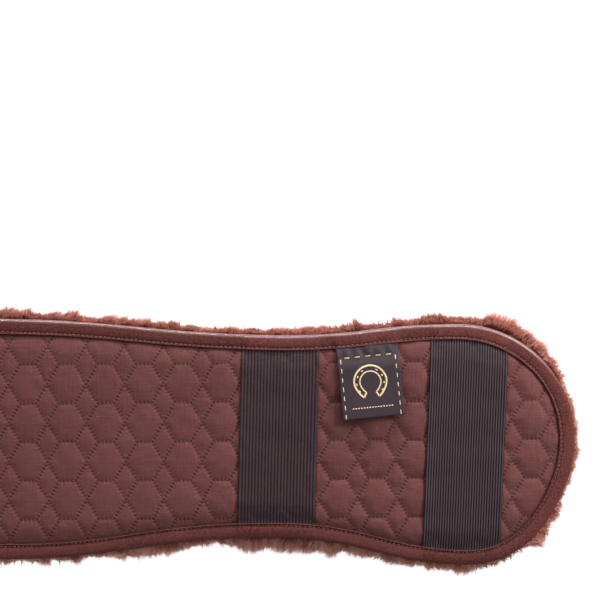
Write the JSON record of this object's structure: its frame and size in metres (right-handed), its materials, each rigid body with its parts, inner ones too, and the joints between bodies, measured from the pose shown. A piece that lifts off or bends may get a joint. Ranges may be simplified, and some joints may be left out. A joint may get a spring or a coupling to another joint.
{
  "type": "girth sleeve",
  "caption": "Long padded sleeve for a saddle girth: quilted cotton face with elastic keepers and a woven label loop, bound edge, thick pile underside, folding across its middle.",
  "frame": {"origin": "centre of the pile's resting plane, halfway along the sleeve", "axes": "+X along the sleeve towards the end that carries the label, +Y towards its straighter long edge, +Z out of the quilted face"},
  "size_m": [0.7584, 0.164, 0.0242],
  "materials": {
    "quilted_cotton": "plain-woven cotton, matt, quilted",
    "wadding": "soft polyester wadding",
    "scrim": "thin plain-woven lining",
    "knitted_backing": "knitted backing of the pile",
    "fleece_pile": "long soft synthetic pile",
    "binding_tape": "smooth woven tape, slight sheen",
    "sewing_thread": "spun thread",
    "ribbed_elastic": "ribbed woven elastic, satin",
    "label_weave": "fine satin-woven label",
    "label_thread": "cream woven figure"
  },
  "bodies": {
    "right_half": {"binding_thread_right": "sewing_thread", "edge_binding_right": "binding_tape", "end_elastic_right_sewn_ends": "ribbed_elastic", "fur_pile_right": "fleece_pile", "label_sewn_end": "label_weave", "pile_backing_right": "knitted_backing", "quilted_cover_right": "quilted_cotton", "wadding_right": "wadding", "wadding_scrim_right": "scrim", "waist_elastic_right_sewn_ends": "ribbed_elastic"},
    "left_half": {"binding_thread_left": "sewing_thread", "edge_binding_left": "binding_tape", "end_elastic_left_sewn_ends": "ribbed_elastic", "fur_pile_left": "fleece_pile", "pile_backing_left": "knitted_backing", "quilted_cover_left": "quilted_cotton", "wadding_left": "wadding", "wadding_scrim_left": "scrim", "waist_elastic_left_sewn_ends": "ribbed_elastic"},
    "label": {"label_flap": "label_weave", "label_border_thread": "label_thread", "label_emblem_thread": "label_thread"},
    "waist_elastic_right": {"waist_elastic_right": "ribbed_elastic"},
    "end_elastic_right": {"end_elastic_right": "ribbed_elastic"},
    "waist_elastic_left": {"waist_elastic_left": "ribbed_elastic"},
    "end_elastic_left": {"end_elastic_left": "ribbed_elastic"}
  },
  "joints": [
    {"name": "centre_fold", "type": "hinge", "parent": "right_half", "child": "left_half", "pos_m": [0, 0, 0.024], "axis": [0, 1, 0], "range_deg": [-60, 150]},
    {"name": "label_flip", "type": "hinge", "parent": "right_half", "child": "label", "pos_m": [0.2394, 0.0626, 0.0201], "axis": [-0.994, -0.1097, 0], "range_deg": [0, 135]},
    {"name": "waist_elastic_right_lift", "type": "slide", "parent": "right_half", "child": "waist_elastic_right", "axis": [0, 0, 1], "range_m": [0, 0.02], "stiffness_N_per_m": 150},
    {"name": "end_elastic_right_lift", "type": "slide", "parent": "right_half", "child": "end_elastic_right", "axis": [0, 0, 1], "range_m": [0, 0.02], "stiffness_N_per_m": 150},
    {"name": "waist_elastic_left_lift", "type": "slide", "parent": "left_half", "child": "waist_elastic_left", "axis": [0, 0, 1], "range_m": [0, 0.02], "stiffness_N_per_m": 150},
    {"name": "end_elastic_left_lift", "type": "slide", "parent": "left_half", "child": "end_elastic_left", "axis": [0, 0, 1], "range_m": [0, 0.02], "stiffness_N_per_m": 150}
  ]
}
